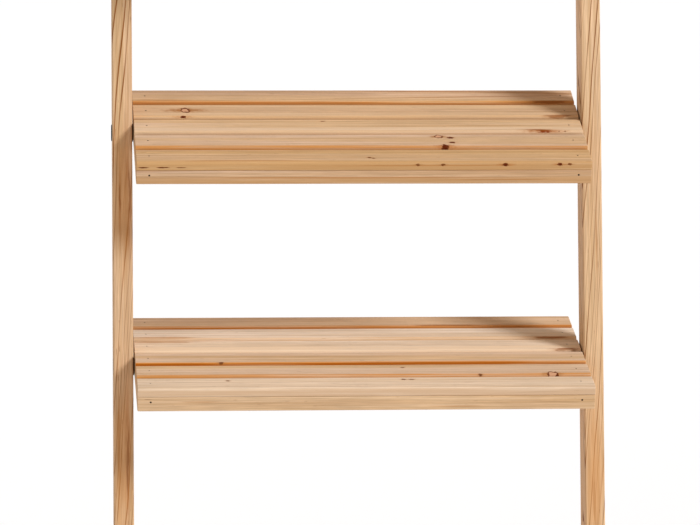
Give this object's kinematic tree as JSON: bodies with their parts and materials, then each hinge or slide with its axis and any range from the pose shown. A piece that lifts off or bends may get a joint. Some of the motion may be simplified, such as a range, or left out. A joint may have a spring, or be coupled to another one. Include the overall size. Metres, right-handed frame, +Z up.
{
  "type": "ladder shelf",
  "caption": "Leaning wooden ladder shelf: slanted uprights carry slatted shelves, deeper toward the floor, each with a front apron and turning on clamped side bolts.",
  "frame": {"origin": "on the floor, in the middle of the width and of the overall depth", "axes": "+X along the shelves to the right as seen from the front, +Y to the wall, +Z up"},
  "size_m": [0.502, 0.4382, 1],
  "materials": {
    "fir_upright": "planed softwood, clear matt, straight grain along the upright",
    "fir_slat": "planed softwood, clear matt, knots and orange latewood bands",
    "fir_apron": "planed softwood, clear matt, fine straight grain",
    "fir_cleat": "planed softwood, clear matt",
    "brad_steel": "dull, set below the wood",
    "bolt_bronze": "bronzed, satin",
    "washer_steel": "dull zinc",
    "bracket_zinc": "zinc plated",
    "pad_rubber": "matt"
  },
  "bodies": {
    "frame": {"left_upright": "fir_upright", "right_upright": "fir_upright", "left_foot_pad": "pad_rubber", "right_foot_pad": "pad_rubber", "left_wall_bracket": "bracket_zinc", "right_wall_bracket": "bracket_zinc", "bracket_screws": "bracket_zinc", "tier_1_washers": "washer_steel", "tier_1_sleeve_nuts": "bolt_bronze", "tier_1_bolts": "bolt_bronze", "tier_2_washers": "washer_steel", "tier_2_sleeve_nuts": "bolt_bronze", "tier_2_bolts": "bolt_bronze", "tier_3_washers": "washer_steel", "tier_3_sleeve_nuts": "bolt_bronze", "tier_3_bolts": "bolt_bronze", "tier_4_washers": "washer_steel", "tier_4_sleeve_nuts": "bolt_bronze", "tier_4_bolts": "bolt_bronze"},
    "shelf_1": {"tier_1_slat_1": "fir_slat", "tier_1_slat_2": "fir_slat", "tier_1_slat_3": "fir_slat", "tier_1_slat_4": "fir_slat", "tier_1_apron": "fir_apron", "tier_1_left_cleat": "fir_cleat", "tier_1_right_cleat": "fir_cleat", "tier_1_nails": "brad_steel"},
    "shelf_2": {"tier_2_slat_1": "fir_slat", "tier_2_slat_2": "fir_slat", "tier_2_slat_3": "fir_slat", "tier_2_slat_4": "fir_slat", "tier_2_slat_5": "fir_slat", "tier_2_apron": "fir_apron", "tier_2_left_cleat": "fir_cleat", "tier_2_right_cleat": "fir_cleat", "tier_2_nails": "brad_steel"},
    "shelf_3": {"tier_3_slat_1": "fir_slat", "tier_3_slat_2": "fir_slat", "tier_3_slat_3": "fir_slat", "tier_3_slat_4": "fir_slat", "tier_3_slat_5": "fir_slat", "tier_3_slat_6": "fir_slat", "tier_3_apron": "fir_apron", "tier_3_left_cleat": "fir_cleat", "tier_3_right_cleat": "fir_cleat", "tier_3_nails": "brad_steel"},
    "shelf_4": {"tier_4_slat_1": "fir_slat", "tier_4_slat_2": "fir_slat", "tier_4_slat_3": "fir_slat", "tier_4_slat_4": "fir_slat", "tier_4_slat_5": "fir_slat", "tier_4_slat_6": "fir_slat", "tier_4_slat_7": "fir_slat", "tier_4_apron": "fir_apron", "tier_4_left_cleat": "fir_cleat", "tier_4_right_cleat": "fir_cleat", "tier_4_nails": "brad_steel"}
  },
  "joints": [
    {"name": "shelf_1_fold", "type": "hinge", "parent": "frame", "child": "shelf_1", "pos_m": [0, 0.15811, 0.851], "axis": [-1, 0, 0], "range_deg": [-69, 111]},
    {"name": "shelf_2_fold", "type": "hinge", "parent": "frame", "child": "shelf_2", "pos_m": [0, 0.07658, 0.627], "axis": [-1, 0, 0], "range_deg": [-62, 118]},
    {"name": "shelf_3_fold", "type": "hinge", "parent": "frame", "child": "shelf_3", "pos_m": [0, -0.00495, 0.403], "axis": [-1, 0, 0], "range_deg": [-69.5, 110.5]},
    {"name": "shelf_4_fold", "type": "hinge", "parent": "frame", "child": "shelf_4", "pos_m": [0, -0.09594, 0.153], "axis": [-1, 0, 0], "range_deg": [-69.5, 110.5]}
  ]
}
